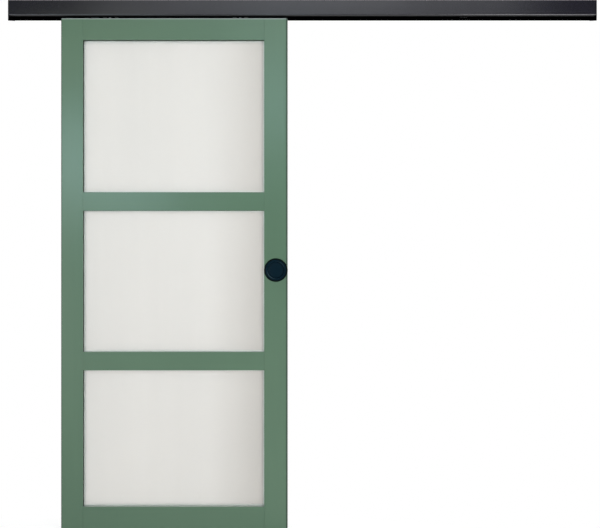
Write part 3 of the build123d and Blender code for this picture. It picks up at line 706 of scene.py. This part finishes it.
# Stage: a pale floor that keeps the door's shadow near its foot, and a white surround


# The floor's half width, and the ellipse at the door's foot that is lit and shaded: all in metres
FLOOR_REACH = 30.0
FOOT_HALF_LENGTH = 1.8
FOOT_HALF_WIDTH = 0.55
FOOT_FORWARD = 0.40
# Shares of that ellipse between which the floor fades to white, and the light that it is given there
FOOT_FADE_START = 0.45
FOOT_FADE_END = 1.0
FOOT_LIFT = 0.55


def white_light(tree, kind, strength):
    """A white emission or background node of a given strength."""
    light = tree.nodes.new(kind)
    light.inputs["Color"].default_value = (1, 1, 1, 1)
    light.inputs["Strength"].default_value = strength
    return light


def studio_floor():
    """A floor that turns white away from the door's foot where the camera or a reflection looks at it."""
    mesh = bpy.data.meshes.new("studio_floor")
    corners = [(-1, -1), (1, -1), (1, 1), (-1, 1)]
    points = [(x * FLOOR_REACH, y * FLOOR_REACH, floor_height) for x, y in corners]
    mesh.from_pydata(points, [], [(0, 1, 2, 3)])
    piece = bpy.data.objects.new("studio_floor", mesh)
    bpy.context.collection.objects.link(piece)
    material, tree, shader = new_material("studio_floor")
    shader.inputs["Base Color"].default_value = (0.85, 0.85, 0.85, 1)
    shader.inputs["Roughness"].default_value = 0.9
    shader.inputs["Specular IOR Level"].default_value = 0.0
    output = next(node for node in tree.nodes if node.bl_idname == "ShaderNodeOutputMaterial")
    rays = tree.nodes.new("ShaderNodeLightPath")
    seen = combine(tree, "MAXIMUM", rays.outputs["Is Camera Ray"], rays.outputs["Is Glossy Ray"])
    seen = combine(tree, "MAXIMUM", seen, rays.outputs["Is Transmission Ray"])
    # Near the foot the floor is lit and shaded, and beyond it fades to plain white
    stretch = (1 / FOOT_HALF_LENGTH, 1 / FOOT_HALF_WIDTH, 0)
    shift = (-leaf_middle / FOOT_HALF_LENGTH, FOOT_FORWARD / FOOT_HALF_WIDTH, 0)
    foot = object_place(tree, stretch, shift)
    away = spread(tree, length_of(tree, foot), 0, 1, FOOT_FADE_START, FOOT_FADE_END)
    lift = white_light(tree, "ShaderNodeEmission", 0.0)
    tree.links.new(combine(tree, "MULTIPLY", seen, FOOT_LIFT), lift.inputs["Strength"])
    white = white_light(tree, "ShaderNodeEmission", 1.0)
    near = tree.nodes.new("ShaderNodeAddShader")
    tree.links.new(shader.outputs["BSDF"], near.inputs[0])
    tree.links.new(lift.outputs["Emission"], near.inputs[1])
    mix = tree.nodes.new("ShaderNodeMixShader")
    tree.links.new(combine(tree, "MULTIPLY", seen, away), mix.inputs[0])
    tree.links.new(near.outputs["Shader"], mix.inputs[1])
    tree.links.new(white.outputs["Emission"], mix.inputs[2])
    tree.links.new(mix.outputs["Shader"], output.inputs["Surface"])
    piece.data.materials.append(material)


# The room's light on the object, and the slants towards the wall between which reflections turn white
ROOM_LEVEL = 0.15
WALL_SIDE_START = -0.1
WALL_SIDE_FULL = 0.3


def surround():
    """White for the camera, behind glass and in what metal mirrors from the wall's side, dim elsewhere."""
    world = bpy.data.worlds.new("surround")
    bpy.context.scene.world = world
    world.use_nodes = True
    tree = world.node_tree
    tree.nodes.clear()
    output = tree.nodes.new("ShaderNodeOutputWorld")
    white = white_light(tree, "ShaderNodeBackground", 1.0)
    room = white_light(tree, "ShaderNodeBackground", ROOM_LEVEL)
    rays = tree.nodes.new("ShaderNodeLightPath")
    way = tree.nodes.new("ShaderNodeTexCoord")
    towards_wall = axes(tree, way.outputs["Generated"])[1]
    wall_side = spread(tree, towards_wall, 0, 1, WALL_SIDE_START, WALL_SIDE_FULL)
    mirrored = combine(tree, "MULTIPLY", rays.outputs["Is Glossy Ray"], wall_side)
    seen = combine(tree, "MAXIMUM", rays.outputs["Is Camera Ray"], rays.outputs["Is Transmission Ray"])
    seen = combine(tree, "MAXIMUM", seen, mirrored)
    mix = tree.nodes.new("ShaderNodeMixShader")
    tree.links.new(seen, mix.inputs[0])
    tree.links.new(room.outputs["Background"], mix.inputs[1])
    tree.links.new(white.outputs["Background"], mix.inputs[2])
    tree.links.new(mix.outputs["Shader"], output.inputs["Surface"])


def softbox(name, place, target, size, power, colour=(1, 1, 1), turn=0.0):
    """A soft rectangular lamp that faces a point of the door, turned about its own line of light."""
    lamp = bpy.data.lights.new(name, "AREA")
    lamp.shape = "RECTANGLE"
    lamp.size, lamp.size_y = size
    lamp.energy = power
    lamp.color = colour
    thing = bpy.data.objects.new(name, lamp)
    facing = (Vector(target) - Vector(place)).to_track_quat("-Z", "Y")
    thing.rotation_euler = (facing @ Quaternion((0, 0, 1), radians(turn))).to_euler()
    thing.location = place
    thing.visible_camera = False
    thing.visible_transmission = False
    bpy.context.collection.objects.link(thing)


studio_floor()
surround()

# Each lamp has its place, the point it faces, its width and height, its power, its tint and its turn
LAMP_ROW = -3.15
COOL = (0.96, 0.98, 1.0)
WINDOW = (0.66, 0.91, 1.0)
STRAW = (0.95, 1.0, 0.72)
softbox("overhead", (0.0, -2.0, 3.0), (0, 0, -1.1), (3.5, 2.0), 2)
softbox("left_flank", (-2.9, -3.3, -1.2), (-0.5, 0, -1.2), (1.2, 2.6), 25)
softbox("right_flank", (1.9, -3.2, -1.2), (-0.5, 0, -1.2), (1.2, 2.6), 81)
softbox("strip_wide", (0.10, LAMP_ROW, 1.10), (0.0, 0, 0.0), (3.6, 0.3), 7.1, COOL)
softbox("strip_middle", (0.15, LAMP_ROW, 1.20), (0.0, 0, 0.0), (2.4, 0.3), 2.2, COOL)
softbox("strip_short", (0.30, LAMP_ROW, 1.30), (0.0, 0, 0.0), (1.2, 0.3), 1.7, COOL)
softbox("slanted_window", (-1.65, LAMP_ROW, -0.25), (-0.80, 0, -0.66), (1.1, 0.45), 13.9, WINDOW, -20.0)
softbox("far_window", (-0.20, LAMP_ROW, 0.26), (-0.11, 0, -0.40), (0.5, 0.6), 6.8, WINDOW, -20.0)
softbox("upper_left", (-1.70, LAMP_ROW, 0.62), (-0.87, 0, -0.20), (1.0, 0.25), 2.4, STRAW)
softbox("wall_side", (1.5, 3.5, 0.6), (0, 0, -1.0), (2.5, 2.5), 90)

# Camera

camera_data = bpy.data.cameras.new("camera")
camera_data.sensor_fit = "HORIZONTAL"
camera_data.angle = 2 * atan(PHOTO_WIDTH / 2 / FOCAL_PIXELS)
camera = bpy.data.objects.new("camera", camera_data)
camera.location = (CAMERA_X, -CAMERA_DISTANCE, camera_height)
camera.rotation_euler = (radians(90), 0, 0)
bpy.context.collection.objects.link(camera)
bpy.context.scene.camera = camera
bpy.context.scene.view_settings.view_transform = "Standard"
